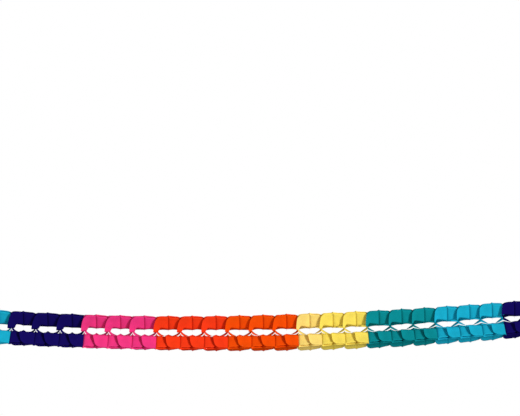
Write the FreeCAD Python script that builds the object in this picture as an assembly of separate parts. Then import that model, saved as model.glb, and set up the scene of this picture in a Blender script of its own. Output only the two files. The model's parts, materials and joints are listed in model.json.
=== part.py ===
import FreeCAD, Part
import math
import os

# A tissue paper garland. Leaves of tissue, die-cut as four lobes joined by narrow ribbons,
# are glued to each other alternately: two opposite lobes to the leaf on the left, the other
# two to the leaf on the right. Pulled open, each lobe folds along its glue line and its two
# halves turn towards the other side of the leaf, so that two glued lobes show as one tile
# with a crease down its middle.
#
# Lengths are in millimetres. X runs along the garland from left to right, Y to the back and
# Z up. The origin is the middle of the hanging hole in the left end card.

# Along the garland
TILE_PITCH = 65.0            # from one crease of a row to the next
TILES_PER_COLOUR = 3
COLOURS = ("light_blue", "dark_blue", "pink", "red_orange", "orange", "yellow", "teal",
           "light_blue", "dark_blue")
SAG = 40.0                   # middle of the garland below its two ends
STRETCH = 0.06               # tiles at the left end are pulled open this much wider, at the
                             # right end this much less

# The section rolls a little along the garland, front up and back down
ROLL_MEAN = 5.0              # degrees
ROLL_SWING = 4.0             # degrees, one full swing along the garland

# One opened leaf
TIP_RADIUS = 66.0            # tip of a crease from the garland's axis
SPIKE = 2.7                  # tip of a crease above the top edges beside it
SHEET = 0.4                  # thickness of the sheet
GLUE_INNER_RADIUS = 16.0     # inner end of a glue line
GLUE_HALF_WIDTH = 3.0
EDGE_LAP = 1.5               # free edge past the plane that it reaches towards
RIM_SPREAD = 4.0             # free edge sideways from its glue line, at the outer rim
SLOT_SPREAD = 8.0            # the same at the slot
RIM_LEAN = 1.5               # free edge moved sideways by the lean of the tile, at the outer rim
SLOT_LEAN = 3.0              # the same at the slot
RIM_DROP = 5.0               # outer corner nearer the axis on the halves turned to the right
RIM_CORNER = 8.0             # cut of a lobe's outer corner
SLOT_CORNER = 7.0            # cut of its corner beside the slot
BOUNDARY_SLOT_RADIUS = 26.0  # slot edge of a boundary lobe from the garland's axis, at its free end
MIDDLE_SLOT_RADIUS = 18.0    # the same on a middle lobe


# Narrow ribbons join the inner ends of neighbouring lobes at the top, the back and the bottom
MIDDLE_ROOT_RADIUS = 10.0    # inner edge of a ribbon from the garland's axis, at a middle lobe
BOUNDARY_ROOT_RADIUS = 2.5   # the same at a boundary lobe

# End cards
CARD_THICKNESS = 0.8
CARD_GAP = 0.5               # free edges short of the card beside them
CARD_ROUNDING = 11.0         # radius of a lobe's corners
HANG_HOLE_RADIUS = 2.5

HALF_PITCH = TILE_PITCH / 2.0
TILES = TILES_PER_COLOUR * len(COLOURS)
LENGTH = TILES * TILE_PITCH
SAG_RADIUS = ((LENGTH / 2.0) ** 2 + SAG ** 2) / (2.0 * SAG)
RIM_RADIUS = TIP_RADIUS - SPIKE
HALF_SHEET = SHEET / 2.0
EDGE_REACH = HALF_PITCH + EDGE_LAP
LOBE_HALF_WIDTH = GLUE_HALF_WIDTH + math.hypot(EDGE_REACH, SLOT_SPREAD - GLUE_HALF_WIDTH)

# Directions of the lobes round the axis, in degrees from the front towards the top. The
# middle lobes are glued at the middle of each tile of the upper front row, the boundary
# lobes where two of those tiles meet.
MIDDLE_LOBES = (45.0, 225.0)
BOUNDARY_LOBES = tuple(direction + 90.0 for direction in MIDDLE_LOBES)


def roll_at(along):
    """Roll of the section at a place along the garland, in degrees."""
    return ROLL_MEAN + ROLL_SWING * math.sin(2.0 * math.pi * along / LENGTH)


def hanging_frame(along):
    """Placement of the cross-section at a place along the shallow arc of the garland."""
    slope = along / SAG_RADIUS
    middle = FreeCAD.Vector(SAG_RADIUS * math.sin(slope), 0.0, SAG_RADIUS * (1.0 - math.cos(slope)))
    turn = FreeCAD.Rotation(FreeCAD.Vector(0.0, 1.0, 0.0), -math.degrees(slope))
    return FreeCAD.Placement(middle, turn)


HOLE_IN_CARD = FreeCAD.Vector(-CARD_THICKNESS / 2.0, 0.0, 0.0)
HANG_POINT = hanging_frame(-LENGTH / 2.0).multVec(HOLE_IN_CARD)


def garland_point(along, direction, out, side):
    """Point of the hung garland: out along a lobe and sideways from it, at its own place."""
    angle = math.radians(direction + roll_at(along))
    y = side * math.sin(angle) - out * math.cos(angle)
    z = side * math.cos(angle) + out * math.sin(angle)
    return hanging_frame(along).multVec(FreeCAD.Vector(0.0, y, z)) - HANG_POINT


class Sheet:
    """A thin folded sheet, gathered as triangles of its middle surface."""

    def __init__(self):
        self.points = []
        self.triangles = []
        self.number_of = {}

    def number(self, point):
        """Number of a point, the same for every facet that meets there."""
        key = (round(point.x, 5), round(point.y, 5), round(point.z, 5))
        if key not in self.number_of:
            self.number_of[key] = len(self.points)
            self.points.append(point)
        return self.number_of[key]

    def add_fan(self, hub, rim, turn=1.0):
        """Triangles from the hub to each pair along the rim; the mirror image for turn -1."""
        numbers = [self.number(point) for point in rim]
        for first, second in zip(numbers, numbers[1:]):
            if turn < 0.0:
                first, second = second, first
            self.triangles.append((self.number(hub), first, second))

    def normals(self, pinned):
        """Unit normals at the points; a pinned point keeps the given direction."""
        sums = [FreeCAD.Vector() for _ in self.points]
        for a, b, c in self.triangles:
            face_normal = (self.points[b] - self.points[a]).cross(self.points[c] - self.points[a])
            for corner in (a, b, c):
                sums[corner] += face_normal
        for corner, direction in pinned.items():
            sums[corner] = direction if direction.dot(sums[corner]) > 0.0 else -direction
        for total in sums:
            total.normalize()
        return sums

    def free_edges(self):
        """Edges with a triangle on one side only, in the order of that triangle."""
        edges = set()
        for a, b, c in self.triangles:
            for edge in ((a, b), (b, c), (c, a)):
                if edge[::-1] in edges:
                    edges.remove(edge[::-1])
                else:
                    edges.add(edge)
        return sorted(edges)

    def solid(self, pinned):
        """The sheet with its thickness, half to each side of the middle surface."""
        count = len(self.points)
        offsets = [normal * HALF_SHEET for normal in self.normals(pinned)]
        points = [point + offset for point, offset in zip(self.points, offsets)]
        points += [point - offset for point, offset in zip(self.points, offsets)]
        triangles = list(self.triangles)
        triangles += [(a + count, c + count, b + count) for a, b, c in self.triangles]
        for a, b in self.free_edges():
            triangles.append((b, a, a + count))
            triangles.append((b, a + count, b + count))
        skin = Part.Shape()
        skin.makeShapeFromMesh((points, triangles), SHEET / 100.0)
        solid = Part.Solid(skin)
        if solid.Volume < 0.0:
            solid.reverse()
        return solid


class Leaf:
    """One leaf, between the glue planes of its middle lobes and of its boundary lobes."""

    def __init__(self, middle_plane, boundary_plane):
        self.planes = {"middle": middle_plane, "boundary": boundary_plane}
        self.sheet = Sheet()
        self.pinned = {}
        self.inner_ends = {}
        for direction in MIDDLE_LOBES:
            self.add_lobe(direction, "middle", "boundary", MIDDLE_SLOT_RADIUS, MIDDLE_ROOT_RADIUS)
        for direction in BOUNDARY_LOBES:
            self.add_lobe(direction, "boundary", "middle", BOUNDARY_SLOT_RADIUS, BOUNDARY_ROOT_RADIUS)
        self.add_ribbons()

    def add_lobe(self, direction, own, other, slot_radius, root_radius):
        """One lobe: its glue strip and its two turned halves."""
        own_plane = self.planes[own]
        to_other = self.planes[other] - own_plane
        ahead = math.copysign(1.0, to_other)
        leftward_forward = -ahead if math.sin(math.radians(direction)) < 0.0 else ahead
        beside_card = abs(self.planes[other]) > (LENGTH - HALF_PITCH) / 2.0
        edge_reach = abs(to_other) + (-CARD_GAP if beside_card else EDGE_LAP)
        rim_corner_radius = RIM_RADIUS - max(0.0, ahead * RIM_DROP)

        def at(reach, out, side):
            """Point of this lobe, at a reach from its glue plane towards the other plane."""
            return garland_point(own_plane + ahead * reach, direction, out, side)

        def on_half(turn, reach, out):
            """Point of a turned half, on the surface from its glue strip to its free edge."""
            inwards = (RIM_RADIUS - out) / (RIM_RADIUS - GLUE_INNER_RADIUS)
            spread = RIM_SPREAD + (SLOT_SPREAD - RIM_SPREAD) * inwards
            lean = RIM_LEAN + (SLOT_LEAN - RIM_LEAN) * inwards
            turned = GLUE_HALF_WIDTH + (spread - GLUE_HALF_WIDTH) * reach / edge_reach
            return at(reach, out, turn * turned + leftward_forward * lean * reach / edge_reach)

        tip = at(HALF_SHEET, TIP_RADIUS, 0.0)
        root = at(HALF_SHEET, root_radius, 0.0)
        strip_in = {turn: at(HALF_SHEET, GLUE_INNER_RADIUS, turn * GLUE_HALF_WIDTH) for turn in (1, -1)}
        strip_out = {turn: at(HALF_SHEET, RIM_RADIUS, turn * GLUE_HALF_WIDTH) for turn in (1, -1)}
        self.sheet.add_fan(tip, (strip_out[1], strip_in[1], strip_in[-1], strip_out[-1]))
        self.sheet.add_fan(root, (strip_in[-1], strip_in[1]))
        self.pin(own_plane, (tip, root, *strip_in.values(), *strip_out.values()))
        self.inner_ends[direction] = (root, strip_in)

        for turn in (1, -1):
            edge = (on_half(turn, edge_reach - RIM_CORNER, rim_corner_radius),
                    on_half(turn, edge_reach, rim_corner_radius - RIM_CORNER),
                    on_half(turn, edge_reach, slot_radius + SLOT_CORNER),
                    on_half(turn, edge_reach - SLOT_CORNER, slot_radius))
            self.sheet.add_fan(strip_in[turn], (strip_out[turn], *edge), turn)

    def add_ribbons(self):
        """Ribbons from each lobe to the next one round; the leaf is slit at the front."""
        lobes = sorted(MIDDLE_LOBES + BOUNDARY_LOBES)
        for lobe, next_lobe in zip(lobes, lobes[1:]):
            root, strip_in = self.inner_ends[lobe]
            next_root, next_strip_in = self.inner_ends[next_lobe]
            self.sheet.add_fan(root, (strip_in[1], next_strip_in[-1], next_root))

    def pin(self, plane, points):
        """Keep the faces of a glue strip square to the garland, flat in the glue plane."""
        along = hanging_frame(plane).Rotation.multVec(FreeCAD.Vector(1.0, 0.0, 0.0))
        for point in points:
            self.pinned[self.sheet.number(point)] = along

    def solid(self):
        return self.sheet.solid(self.pinned)


def end_card(outward):
    """Stiff card of a leaf's outline, from the glue plane outward, with its hanging hole."""
    size = FreeCAD.Vector(CARD_THICKNESS, 2.0 * TIP_RADIUS, 2.0 * LOBE_HALF_WIDTH)
    start = min(0.0, outward * CARD_THICKNESS)
    upright = Part.makeBox(size.x, size.z, size.y, FreeCAD.Vector(start, -size.z / 2.0, -size.y / 2.0))
    level = Part.makeBox(size.x, size.y, size.z, FreeCAD.Vector(start, -size.y / 2.0, -size.z / 2.0))
    cross = upright.fuse(level).removeSplitter()
    reach = math.hypot(TIP_RADIUS, LOBE_HALF_WIDTH)
    corners = [edge for edge in cross.Edges
               if abs(edge.tangentAt(edge.FirstParameter).x) > 0.5
               and math.hypot(edge.CenterOfMass.y, edge.CenterOfMass.z) > reach - HALF_SHEET]
    card = cross.makeFillet(CARD_ROUNDING, corners)
    hole = Part.makeCylinder(HANG_HOLE_RADIUS, CARD_THICKNESS, FreeCAD.Vector(start, 0.0, 0.0),
                             FreeCAD.Vector(1.0, 0.0, 0.0))
    card = card.cut(hole)

    along = outward * LENGTH / 2.0
    card.rotate(FreeCAD.Vector(), FreeCAD.Vector(1.0, 0.0, 0.0), MIDDLE_LOBES[0] - roll_at(along))
    frame = hanging_frame(along)
    card.Placement = frame.multiply(card.Placement)
    card.translate(-HANG_POINT)
    return card


def glue_plane(number):
    """Place of a glue plane along the garland, counted from the left end card."""
    share = number / (2.0 * TILES)
    return LENGTH * (share - 0.5 + STRETCH * share * (1.0 - share))


def leaf_planes(index):
    """Glue planes of the middle and of the boundary lobes of a leaf, counted from the left."""
    left, right = glue_plane(index), glue_plane(index + 1)
    return (right, left) if index % 2 == 0 else (left, right)


os.makedirs("parts", exist_ok=True)
for index in range(2 * TILES):
    colour = COLOURS[index // (2 * TILES_PER_COLOUR)]
    leaf = Leaf(*leaf_planes(index))
    leaf.solid().exportStep("parts/leaf_%02d_%s.step" % (index + 1, colour))
end_card(-1.0).exportStep("parts/end_card_left.step")
end_card(1.0).exportStep("parts/end_card_right.step")
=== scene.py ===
import json
import math
import random
import re

import bmesh
import bpy
from mathutils import Euler, Matrix, Vector, noise


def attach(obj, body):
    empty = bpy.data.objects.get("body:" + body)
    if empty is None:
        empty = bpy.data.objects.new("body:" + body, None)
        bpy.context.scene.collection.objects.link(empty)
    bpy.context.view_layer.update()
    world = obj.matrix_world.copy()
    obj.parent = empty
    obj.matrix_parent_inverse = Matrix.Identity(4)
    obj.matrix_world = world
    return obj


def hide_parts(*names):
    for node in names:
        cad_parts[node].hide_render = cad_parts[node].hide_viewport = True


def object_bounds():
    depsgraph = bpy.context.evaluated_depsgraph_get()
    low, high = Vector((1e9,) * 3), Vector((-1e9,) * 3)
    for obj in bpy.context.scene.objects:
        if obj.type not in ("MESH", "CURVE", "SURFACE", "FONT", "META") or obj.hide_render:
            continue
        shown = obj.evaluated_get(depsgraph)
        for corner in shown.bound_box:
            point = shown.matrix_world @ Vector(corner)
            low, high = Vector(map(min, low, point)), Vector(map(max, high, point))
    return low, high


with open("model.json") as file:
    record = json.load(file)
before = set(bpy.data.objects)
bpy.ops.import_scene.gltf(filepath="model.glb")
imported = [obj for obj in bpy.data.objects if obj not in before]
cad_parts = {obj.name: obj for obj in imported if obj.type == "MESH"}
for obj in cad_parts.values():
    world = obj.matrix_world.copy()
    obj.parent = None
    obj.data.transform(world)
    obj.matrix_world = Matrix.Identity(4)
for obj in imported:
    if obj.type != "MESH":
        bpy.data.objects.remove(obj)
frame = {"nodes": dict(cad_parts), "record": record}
cad_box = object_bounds()

MM = 0.001

# How the garland hangs and how its leaves are cut, near the frame's solids
STRETCH = 0.06                       # tiles at the left end are pulled open this much wider
ROLL_MEAN = 5.0                      # degrees, front up and back down
ROLL_SWING = 4.0                     # degrees, one full swing along the garland
TIP_RADIUS = 66.0 * MM
SPIKE = 3.4 * MM                     # the crease's tip stands this far out of the rim
SPIKE_WIDTH = 4.0 * MM
GLUE_INNER_RADIUS = 15.5 * MM        # inner end of the glued crease
EDGE_LAP = 1.5 * MM                  # free edges pass the next glue plane by this much
SLOT_SPREAD = 8.0 * MM
RIM_LEAN = 1.5 * MM
SLOT_LEAN = 5.5 * MM
RIM_DROP = 5.0 * MM                  # rim of a right half falls this much to its free corner
BOUNDARY_SLOT_RADIUS = 24.0 * MM
MIDDLE_SLOT_RADIUS = 18.0 * MM
MIDDLE_ROOT_RADIUS = 5.0 * MM
BOUNDARY_ROOT_RADIUS = 2.5 * MM
CARD_THICKNESS = 0.8 * MM
CARD_GAP = 0.5 * MM                  # free edges stay this far from an end card
MIDDLE_LOBES = (45.0, 225.0)         # degrees from the front towards the top
BOUNDARY_LOBES = (135.0, 315.0)

# The tissue itself, finer than the frame's solids
TISSUE = 0.12 * MM                   # thickness of the sheet
CREASE_HALF_WIDTH = 1.0 * MM         # flat strip that is glued to the next leaf
RIM_SPREAD = 2.6 * MM                # free edge sideways from the crease, at the outer rim
RIM_ROUNDING = 10.0 * MM
SLOT_ROUNDING = 10.0 * MM
SLOT_ARCH = 3.0 * MM                 # slot edge rises this much beside the crease
CREASE_RIDGE = 2.2 * MM              # right half comes forward this much just beside the crease
RIDGE_WIDTH = 4.0 * MM
EDGE_BULGE = 2.5 * MM                # left half's free edge further out half way down
EDGE_UNEVENNESS = 2.5 * MM
SLANT_PIVOT = 0.35                   # share of the way inwards at which a slanting edge stays put
REAR_FLATNESS = 0.45                 # rear sheets above the holes spread this much of the others
S_BEND = 0.8                         # 0 for a flat half, 1 for a strong S from crease to free edge
WAVE = 1.6 * MM                      # soft waves of the free edges
WAVE_LENGTH = 16.0 * MM
WAVES_TO_FREE_EDGE = 1.6
RIM_RIPPLE = 0.8 * MM
RIPPLE_LENGTH = 12.0 * MM
RIPPLE_START = 6.0 * MM
REAR_LEVELLING = 0.65                # how far slot edges are cut level with the row of holes
FRONT_LEVELLING = 0.85
LOWER_LEVELLING = 0.5
LOWER_CORNER = 0.3                   # share of the slot's rounding at these corners
TAB_CORNER = 0.4
TAB_SHOULDER = 0.16                  # share of the half over which the tab's side runs down
RIBBON_DROOP = 3.2 * MM              # inner edge of a ribbon hangs lower than its outer one
TOP_RIBBON_ARCH = 5.0 * MM           # top ribbons are pushed up by the lobes beside them
TOP_RIBBON_SHARE = 0.45              # and are this much as wide as the others
HANG_SKEW = 0.6                      # below 1, slack ribbons hang lowest near the boundary lobe
COLUMNS = 18                         # mesh steps of one half, from crease to free edge
ROWS = 10
RIBBON_STEPS = 12

# Sizes that change from the left end of the garland to the right, where it is pulled open less
LEFT_EDGE_SLANT = (16.0 * MM, 1.0 * MM)     # left half's free edge reaches further near the slot
RIGHT_EDGE_SLANT = (4.0 * MM, 2.0 * MM)
TAB_START = (0.36, 0.93)                    # share of a left half at which its corner tab begins
TAB_END = (7.0 * MM, 20.0 * MM)             # radius down to which the corner tab hangs
RIBBON_SLACK = (11.0 * MM, -3.0 * MM)       # back and bottom ribbons; below 0 they arch up

# Tissue colours, as linear light
TISSUE_COLOURS = {
    "light_blue": (0.010, 0.420, 0.600),
    "dark_blue": (0.007, 0.003, 0.108),
    "pink": (0.840, 0.041, 0.225),
    "red_orange": (0.900, 0.047, 0.009),
    "orange": (0.880, 0.080, 0.002),
    "yellow": (0.940, 0.745, 0.118),
    "teal": (0.003, 0.268, 0.302),
}
PEACH = (0.970, 0.730, 0.195)        # the first tile of yellow is a paler, peachier batch
LEAVES_OF_A_TILE = 2

# Surroundings and camera
FLOOR_SIZE = 14.0
FLOOR_BELOW = 0.9                    # from the garland's middle down to the floor
ROOM_LIGHT = 0.36
LAMP_DISTANCE = 4.0
KEY_SIDE = Vector((1.0, -1.05, 0.22))
KEY_SOFTNESS = 14.0                  # degrees across
KEY_STRENGTH = 2.65
CAMERA_PLACE = (0.899, -8.0, -0.04)
CAMERA_LENS = 199.7
CAMERA_TIPPED_UP = 2.48              # degrees
CAMERA_ROLLED = -0.79                # degrees


# The line on which the garland hangs, from its two hanging holes
mounts = {mount["name"]: mount for mount in frame["record"]["mounts"]}
left_hole = Vector(mounts["hang_hole_left"]["pos_m"])
right_hole = Vector(mounts["hang_hole_right"]["pos_m"])
right_axis = Vector(mounts["hang_hole_right"]["axis"])
END_SLOPE = math.atan2(right_axis.z, right_axis.x)
SPAN_OF_GLUED_LEAVES = right_hole.x - left_hole.x - CARD_THICKNESS * math.cos(END_SLOPE)
SAG_RADIUS = SPAN_OF_GLUED_LEAVES / (2.0 * math.sin(END_SLOPE))
LENGTH = 2.0 * SAG_RADIUS * END_SLOPE

LEAF_NAME = re.compile(r"leaf_(\d+)_(\w+)")
leaf_nodes = sorted(name for name in frame["nodes"] if LEAF_NAME.fullmatch(name))
HALF_PITCH = LENGTH / len(leaf_nodes)


def glue_plane(number):
    """Place of a glue plane along the garland, counted from the left end card."""
    share = number / len(leaf_nodes)
    return LENGTH * (share - 0.5 + STRETCH * share * (1.0 - share))


def hanging_frame(along):
    """Middle of the section, the way along and the way up, at a place along the garland."""
    slope = along / SAG_RADIUS
    middle = Vector((SAG_RADIUS * math.sin(slope), 0.0, SAG_RADIUS * (1.0 - math.cos(slope))))
    way_along = Vector((math.cos(slope), 0.0, math.sin(slope)))
    way_up = Vector((-math.sin(slope), 0.0, math.cos(slope)))
    return middle, way_along, way_up


end_middle, end_along, _ = hanging_frame(-LENGTH / 2.0)
ORIGIN = end_middle - end_along * CARD_THICKNESS / 2.0


def garland_point(along, direction, out, side):
    """Point out along a lobe and sideways from it, at its place on the hanging line."""
    roll = ROLL_MEAN + ROLL_SWING * math.sin(2.0 * math.pi * along / LENGTH)
    angle = math.radians(direction + roll)
    y = side * math.sin(angle) - out * math.cos(angle)
    up = side * math.cos(angle) + out * math.sin(angle)
    middle, _, way_up = hanging_frame(along)
    return middle + Vector((0.0, y, 0.0)) + way_up * up - ORIGIN


def changing(ends, place):
    """Value at a place along the garland, between those of its left and right ends."""
    return ends[0] + (ends[1] - ends[0]) * (place + LENGTH / 2.0) / LENGTH


def smooth_step(x):
    """Soft rise from 0 to 1 while x goes from 0 to 1."""
    x = min(max(x, 0.0), 1.0)
    return x * x * (3.0 - 2.0 * x)


def rounding(past_corner, radius):
    """How far a corner's arc has left the straight edge, this far into the corner."""
    if past_corner <= 0.0:
        return 0.0
    return radius - math.sqrt(max(radius ** 2 - past_corner ** 2, 0.0))


class Lobe:
    """One lobe of a leaf: a crease on its glue plane and two halves turned away from it."""

    def __init__(self, leaf_number, direction, own_plane, other_plane, slot_radius, root_radius):
        rng = random.Random(1000 * leaf_number + int(direction))
        self.direction = direction
        self.own_plane = own_plane
        self.slot_radius = slot_radius
        self.root_radius = root_radius
        self.ahead = math.copysign(1.0, other_plane - own_plane)
        self.leftward_forward = -self.ahead if math.sin(math.radians(direction)) < 0.0 else self.ahead
        beside_card = abs(other_plane) > (LENGTH - HALF_PITCH) / 2.0
        self.edge_reach = abs(other_plane - own_plane) + (-CARD_GAP if beside_card else EDGE_LAP)
        slant = changing(LEFT_EDGE_SLANT if self.ahead < 0.0 else RIGHT_EDGE_SLANT, own_plane)
        self.slant = 0.0 if beside_card else slant + EDGE_UNEVENNESS * rng.uniform(-1.0, 1.0)
        self.bulge = 0.0 if beside_card or self.ahead > 0.0 else EDGE_BULGE * rng.uniform(0.3, 1.3)
        self.seed = rng.uniform(0.0, 100.0)
        self.bend = S_BEND * rng.uniform(0.6, 1.3)
        self.droop = rng.uniform(0.6, 1.4)

    def at(self, reach, out, side):
        """Point of this lobe, reach away from its glue plane."""
        along = self.own_plane + self.ahead * max(reach, TISSUE / 2.0)
        return garland_point(along, self.direction, out, side)

    def half_point(self, turn, v, out):
        """Point of a turned half: v from 0 at the crease to 1 at the free edge, out from the axis."""
        inwards = (TIP_RADIUS - out) / (TIP_RADIUS - GLUE_INNER_RADIUS)
        spread = RIM_SPREAD + (SLOT_SPREAD - RIM_SPREAD) * inwards
        lean = RIM_LEAN + (SLOT_LEAN - RIM_LEAN) * inwards
        turned = v + self.bend * math.sin(2.0 * math.pi * v) / (2.0 * math.pi)
        inside = min(max(inwards, 0.0), 1.0)
        edge = self.slant * (inside - SLANT_PIVOT) + self.bulge * math.sin(math.pi * inside)
        reach = v * self.edge_reach + v * v * edge
        rise = 1.0 - max(0.0, 1.0 - reach / RIDGE_WIDTH) ** 2
        ridge = CREASE_RIDGE * (1.0 - v) * rise * max(0.0, self.ahead)
        wave = noise.noise(Vector((self.seed + 7.0 * turn, out / WAVE_LENGTH, v * WAVES_TO_FREE_EDGE)))
        side = (turn * (CREASE_HALF_WIDTH + (spread - CREASE_HALF_WIDTH) * turned + ridge)
                + self.leftward_forward * lean * v + WAVE * (0.4 + 0.6 * inwards) * wave * v)
        if self.above_holes_at_rear(turn):
            side *= REAR_FLATNESS
        return self.at(reach, out, side)

    def above_holes_at_rear(self, turn):
        """Whether this half hangs behind the upper edge of the holes."""
        return turn > 0.0 and self.direction == BOUNDARY_LOBES[0]

    def rim_out(self, turn, v):
        """Outer rim of a half: down from the crease's tip, then level to the rounded corner."""
        reach = v * self.edge_reach
        ripple = noise.noise(Vector((self.seed + 3.0 * turn, reach / RIPPLE_LENGTH, 5.0)))
        return (TIP_RADIUS - SPIKE * min(1.0, reach / SPIKE_WIDTH) ** 0.8
                - max(0.0, self.ahead) * RIM_DROP * v ** 0.7
                - rounding(reach - self.edge_reach + RIM_ROUNDING, RIM_ROUNDING)
                + RIM_RIPPLE * ripple * min(1.0, reach / RIPPLE_START))

    def slot_out(self, turn, v):
        """Inner edge of a half along the slot: up from the crease, then round the free corner."""
        corner = rounding((v - 1.0) * self.edge_reach + SLOT_ROUNDING, SLOT_ROUNDING)
        arch = SLOT_ARCH * (1.0 - (1.0 - v) ** 4)
        if turn * math.sin(math.radians(2.0 * self.direction)) > 0.0:
            return GLUE_INNER_RADIUS + arch + (self.slot_radius - GLUE_INNER_RADIUS - SLOT_ARCH) * v + corner
        sideways = (SLOT_SPREAD + turn * self.leftward_forward * SLOT_LEAN) * v
        if self.direction > 180.0:
            return GLUE_INNER_RADIUS + LOWER_LEVELLING * sideways + LOWER_CORNER * corner
        levelling = REAR_LEVELLING if self.above_holes_at_rear(turn) else FRONT_LEVELLING
        level = GLUE_INNER_RADIUS + arch + levelling * sideways
        if self.ahead > 0.0 or self.direction > 90.0:
            return level
        tab_start = changing(TAB_START, self.own_plane)
        tab_end = changing(TAB_END, self.own_plane) + TAB_CORNER * corner
        return level + (tab_end - level) * smooth_step((v - tab_start) / TAB_SHOULDER)

    def half_rows(self, turn):
        """Grid of one turned half, from its slot edge to its rim."""
        rows = []
        for row in range(ROWS + 1):
            u = row / ROWS
            points = []
            for column in range(COLUMNS + 1):
                v = 0.5 * (1.0 - math.cos(math.pi * column / COLUMNS))
                inner, outer = self.slot_out(turn, v), self.rim_out(turn, v)
                points.append(self.half_point(turn, v, inner + (outer - inner) * u))
            rows.append(points)
        return rows

    def strip_rows(self):
        """Narrow flat strip at the crease, from one half to the other, down to the ribbons' root."""
        rows = []
        for row in range(ROWS + 1):
            u = row / ROWS
            out = GLUE_INNER_RADIUS + (TIP_RADIUS - GLUE_INNER_RADIUS) * u
            rows.append([self.half_point(-1.0, 0.0, out), self.at(0.0, out, 0.0),
                         self.half_point(1.0, 0.0, out)])
        return rows

    def inner_end(self, turn):
        """Corner of the crease's inner end, and the root of the ribbons."""
        return (self.half_point(turn, 0.0, GLUE_INNER_RADIUS), self.at(0.0, GLUE_INNER_RADIUS, 0.0),
                self.at(0.0, self.root_radius, 0.0))


def ribbon_rows(lobe, next_lobe):
    """Soft twisted ribbon between neighbouring lobes, from root to root."""
    corner, _, root = lobe.inner_end(1.0)
    next_corner, _, next_root = next_lobe.inner_end(-1.0)
    on_top = lobe.direction < 90.0 < next_lobe.direction
    slack = changing(RIBBON_SLACK, lobe.own_plane)
    rows = []
    for step in range(RIBBON_STEPS + 1):
        t = 0.5 - 0.5 * math.cos(math.pi * step / RIBBON_STEPS)
        from_boundary = t if lobe.root_radius < next_lobe.root_radius else 1.0 - t
        outer = corner.lerp(next_corner, t)
        inner = outer.lerp(root.lerp(next_root, t), TOP_RIBBON_SHARE if on_top else 1.0)
        if on_top:
            hang = -TOP_RIBBON_ARCH * math.sin(math.pi * t)
        else:
            hang = slack * math.sin(math.pi * from_boundary ** HANG_SKEW)
        outer.z -= hang
        inner.z -= hang + RIBBON_DROOP * lobe.droop * math.sin(math.pi * t)
        rows.append([outer, outer.lerp(inner, 0.5), inner])
    return rows


def add_grid(sheet, rows):
    """Quads between rows of points."""
    verts = [[sheet.verts.new(point) for point in row] for row in rows]
    for low, high in zip(verts, verts[1:]):
        for i in range(len(low) - 1):
            sheet.faces.new((low[i], high[i], high[i + 1], low[i + 1]))


def leaf_mesh(name, number, middle_plane, boundary_plane):
    """The curved sheet of one leaf, welded from the grids of its lobes and ribbons."""
    lobes = [Lobe(number, direction, middle_plane, boundary_plane, MIDDLE_SLOT_RADIUS, MIDDLE_ROOT_RADIUS)
             for direction in MIDDLE_LOBES]
    lobes += [Lobe(number, direction, boundary_plane, middle_plane, BOUNDARY_SLOT_RADIUS,
                   BOUNDARY_ROOT_RADIUS)
              for direction in BOUNDARY_LOBES]
    lobes.sort(key=lambda lobe: lobe.direction)
    sheet = bmesh.new()
    for lobe in lobes:
        add_grid(sheet, lobe.strip_rows())
        for turn in (1.0, -1.0):
            add_grid(sheet, lobe.half_rows(turn))
        for turn in (1.0, -1.0):
            sheet.faces.new([sheet.verts.new(point) for point in lobe.inner_end(turn)])
    for lobe, next_lobe in zip(lobes, lobes[1:]):
        add_grid(sheet, ribbon_rows(lobe, next_lobe))
    bmesh.ops.remove_doubles(sheet, verts=sheet.verts, dist=0.01 * MM)
    bmesh.ops.recalc_face_normals(sheet, faces=sheet.faces)
    mesh = bpy.data.meshes.new(name)
    sheet.to_mesh(mesh)
    sheet.free()
    mesh.shade_smooth()
    return mesh


def make_leaf(node):
    """A tissue leaf in the place of its solid in the frame."""
    number, colour = LEAF_NAME.fullmatch(node).groups()
    index = int(number) - 1
    left, right = glue_plane(index), glue_plane(index + 1)
    planes = (right, left) if index % 2 == 0 else (left, right)
    mesh = leaf_mesh("tissue_" + node, index + 1, *planes)
    leaf = bpy.data.objects.new(mesh.name, mesh)
    bpy.context.scene.collection.objects.link(leaf)
    thickness = leaf.modifiers.new("sheet", "SOLIDIFY")
    thickness.thickness = TISSUE
    thickness.offset = 0.0
    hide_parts(node)
    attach(leaf, "root")
    return leaf, colour


def new_group(name, inputs, outputs):
    """Empty shader group with named sockets, and its input and output nodes."""
    group = bpy.data.node_groups.new(name, "ShaderNodeTree")
    for socket_name, kind, value in inputs:
        socket = group.interface.new_socket(socket_name, in_out="INPUT", socket_type=kind)
        socket.default_value = value
    for socket_name, kind in outputs:
        group.interface.new_socket(socket_name, in_out="OUTPUT", socket_type=kind)
    return group, group.nodes.new("NodeGroupInput"), group.nodes.new("NodeGroupOutput")


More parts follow.
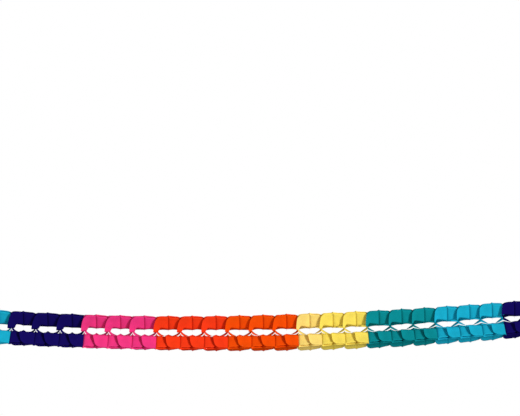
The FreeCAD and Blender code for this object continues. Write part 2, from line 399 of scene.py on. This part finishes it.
def tissue_fibre_group():
    """Faint fibres and cloudy thickness of tissue, and its fine crinkles as a height."""
    group, given, result = new_group(
        "tissue_fibre",
        (("Colour", "NodeSocketColor", (0.8, 0.8, 0.8, 1.0)), ("Cloudiness", "NodeSocketFloat", 0.1)),
        (("Colour", "NodeSocketColor"), ("Height", "NodeSocketFloat")))
    nodes, links = group.nodes, group.links
    place = nodes.new("ShaderNodeTexCoord")

    clouds = nodes.new("ShaderNodeTexNoise")
    clouds.inputs["Scale"].default_value = 60.0
    clouds.inputs["Detail"].default_value = 4.0
    links.new(place.outputs["Object"], clouds.inputs["Vector"])

    fibres = nodes.new("ShaderNodeTexNoise")
    fibres.inputs["Scale"].default_value = 700.0
    fibres.inputs["Detail"].default_value = 3.0
    fibres.inputs["Distortion"].default_value = 1.5
    links.new(place.outputs["Object"], fibres.inputs["Vector"])

    both = nodes.new("ShaderNodeMix")
    both.inputs["Factor"].default_value = 0.4
    links.new(clouds.outputs["Fac"], both.inputs["A"])
    links.new(fibres.outputs["Fac"], both.inputs["B"])

    change = nodes.new("ShaderNodeMapRange")
    change.inputs["From Min"].default_value = 0.3
    change.inputs["From Max"].default_value = 0.7
    links.new(both.outputs["Result"], change.inputs["Value"])
    strength = nodes.new("ShaderNodeMath")
    strength.operation = "MULTIPLY"
    links.new(change.outputs["Result"], strength.inputs[0])
    links.new(given.outputs["Cloudiness"], strength.inputs[1])
    brighter = nodes.new("ShaderNodeMath")
    brighter.operation = "ADD"
    brighter.inputs[1].default_value = 0.95
    links.new(strength.outputs["Value"], brighter.inputs[0])
    tinted = nodes.new("ShaderNodeHueSaturation")
    links.new(given.outputs["Colour"], tinted.inputs["Color"])
    links.new(brighter.outputs["Value"], tinted.inputs["Value"])
    links.new(tinted.outputs["Color"], result.inputs["Colour"])

    crinkle = nodes.new("ShaderNodeTexVoronoi")
    crinkle.feature = "DISTANCE_TO_EDGE"
    crinkle.inputs["Scale"].default_value = 90.0
    crinkle.inputs["Randomness"].default_value = 1.0
    wobble = nodes.new("ShaderNodeVectorMath")
    wobble.operation = "MULTIPLY_ADD"
    wobble.inputs[1].default_value = (0.012, 0.012, 0.012)
    links.new(clouds.outputs["Color"], wobble.inputs[0])
    links.new(place.outputs["Object"], wobble.inputs[2])
    links.new(wobble.outputs["Vector"], crinkle.inputs["Vector"])
    height = nodes.new("ShaderNodeMath")
    height.operation = "MULTIPLY_ADD"
    height.inputs[1].default_value = 0.6
    links.new(crinkle.outputs["Distance"], height.inputs[0])
    links.new(fibres.outputs["Fac"], height.inputs[2])
    links.new(height.outputs["Value"], result.inputs["Height"])
    return group


def tissue_material(name, colour, fibre):
    """Matt, slightly woolly tissue of one colour."""
    material = bpy.data.materials.new(name)
    material.use_nodes = True
    nodes, links = material.node_tree.nodes, material.node_tree.links
    shader = nodes["Principled BSDF"]
    shader.inputs["Roughness"].default_value = 0.85
    shader.inputs["Specular IOR Level"].default_value = 0.03
    texture = nodes.new("ShaderNodeGroup")
    texture.node_tree = fibre
    texture.inputs["Colour"].default_value = (*colour, 1.0)
    texture.inputs["Cloudiness"].default_value = 0.16
    bump = nodes.new("ShaderNodeBump")
    bump.inputs["Strength"].default_value = 0.35
    bump.inputs["Distance"].default_value = 0.3 * MM
    links.new(texture.outputs["Colour"], shader.inputs["Base Color"])
    links.new(texture.outputs["Height"], bump.inputs["Height"])
    links.new(bump.outputs["Normal"], shader.inputs["Normal"])
    return material


def card_material(fibre):
    """Stiff grey-white board of the end cards, with a faint fibre and a smoother face than tissue."""
    material = bpy.data.materials.new("grey_white_board")
    material.use_nodes = True
    nodes, links = material.node_tree.nodes, material.node_tree.links
    shader = nodes["Principled BSDF"]
    shader.inputs["Specular IOR Level"].default_value = 0.3
    texture = nodes.new("ShaderNodeGroup")
    texture.node_tree = fibre
    texture.inputs["Colour"].default_value = (0.70, 0.68, 0.63, 1.0)
    texture.inputs["Cloudiness"].default_value = 0.07
    roughness = nodes.new("ShaderNodeMapRange")
    roughness.inputs["To Min"].default_value = 0.55
    roughness.inputs["To Max"].default_value = 0.75
    bump = nodes.new("ShaderNodeBump")
    bump.inputs["Strength"].default_value = 0.15
    bump.inputs["Distance"].default_value = 0.1 * MM
    links.new(texture.outputs["Colour"], shader.inputs["Base Color"])
    links.new(texture.outputs["Height"], roughness.inputs["Value"])
    links.new(roughness.outputs["Result"], shader.inputs["Roughness"])
    links.new(texture.outputs["Height"], bump.inputs["Height"])
    links.new(bump.outputs["Normal"], shader.inputs["Normal"])
    return material


def backdrop_material():
    """Pale floor that keeps shadows under lamps but reads white behind the garland."""
    material = bpy.data.materials.new("pale_backdrop")
    material.use_nodes = True
    shader = material.node_tree.nodes["Principled BSDF"]
    shader.inputs["Base Color"].default_value = (0.9, 0.9, 0.9, 1.0)
    shader.inputs["Roughness"].default_value = 0.9
    return material


def add_floor(size, height):
    """Square floor at a height, which isn't part of the garland."""
    mesh = bpy.data.meshes.new("floor")
    half = size / 2.0
    corners = [(-half, -half, height), (half, -half, height), (half, half, height), (-half, half, height)]
    mesh.from_pydata(corners, [], [(0, 1, 2, 3)])
    floor = bpy.data.objects.new("floor", mesh)
    bpy.context.scene.collection.objects.link(floor)
    floor.data.materials.append(backdrop_material())


def add_sun(name, towards_lamp, softness, strength):
    """Even lamp far away, with soft shadows."""
    light = bpy.data.lights.new(name, "SUN")
    light.angle = math.radians(softness)
    light.energy = strength
    lamp = bpy.data.objects.new(name, light)
    bpy.context.scene.collection.objects.link(lamp)
    lamp.location = towards_lamp.normalized() * LAMP_DISTANCE
    lamp.rotation_euler = (-towards_lamp).to_track_quat("-Z", "Y").to_euler()


def light_world(strength):
    """Even white surroundings: seen as plain white, and lighting the object at the given strength."""
    world = bpy.data.worlds.new("white_room")
    bpy.context.scene.world = world
    world.use_nodes = True
    nodes, links = world.node_tree.nodes, world.node_tree.links
    background = nodes["Background"]
    background.inputs["Color"].default_value = (1.0, 1.0, 1.0, 1.0)
    path = nodes.new("ShaderNodeLightPath")
    seen = nodes.new("ShaderNodeMath")
    seen.operation = "MAXIMUM"
    links.new(path.outputs["Is Camera Ray"], seen.inputs[0])
    links.new(path.outputs["Is Glossy Ray"], seen.inputs[1])
    also = nodes.new("ShaderNodeMath")
    also.operation = "MAXIMUM"
    links.new(seen.outputs["Value"], also.inputs[0])
    links.new(path.outputs["Is Transmission Ray"], also.inputs[1])
    level = nodes.new("ShaderNodeMapRange")
    level.inputs["To Min"].default_value = strength
    level.inputs["To Max"].default_value = 1.0
    links.new(also.outputs["Value"], level.inputs["Value"])
    links.new(level.outputs["Result"], background.inputs["Strength"])


# Leaves
fibre = tissue_fibre_group()
tissue = {colour: tissue_material("tissue_" + colour, value, fibre)
          for colour, value in TISSUE_COLOURS.items()}
peach_tissue = tissue_material("tissue_peach", PEACH, fibre)
peach_nodes = [node for node in leaf_nodes if node.endswith("_yellow")][:LEAVES_OF_A_TILE]
for node in leaf_nodes:
    leaf, colour = make_leaf(node)
    leaf.data.materials.append(peach_tissue if node in peach_nodes else tissue[colour])

# End cards, shown as the frame has them
board = card_material(fibre)
for node in ("end_card_left", "end_card_right"):
    for slot in frame["nodes"][node].material_slots:
        slot.material = board

# Surroundings
bpy.context.scene.view_settings.view_transform = "Standard"
middle = (Vector(cad_box[0]) + Vector(cad_box[1])) / 2.0
add_floor(FLOOR_SIZE, middle.z - FLOOR_BELOW)
light_world(ROOM_LIGHT)
add_sun("key", KEY_SIDE, KEY_SOFTNESS, KEY_STRENGTH)

# Camera: far away and level with the garland, tipped up so that the garland shows low
camera_data = bpy.data.cameras.new("camera")
camera_data.sensor_width = 36.0
camera_data.lens = CAMERA_LENS
camera = bpy.data.objects.new("camera", camera_data)
bpy.context.scene.collection.objects.link(camera)
camera.location = CAMERA_PLACE
level_view = Euler((math.radians(90.0 + CAMERA_TIPPED_UP), 0.0, 0.0)).to_matrix()
camera.rotation_euler = (level_view @ Matrix.Rotation(math.radians(CAMERA_ROLLED), 3, "Z")).to_euler()
bpy.context.scene.camera = camera
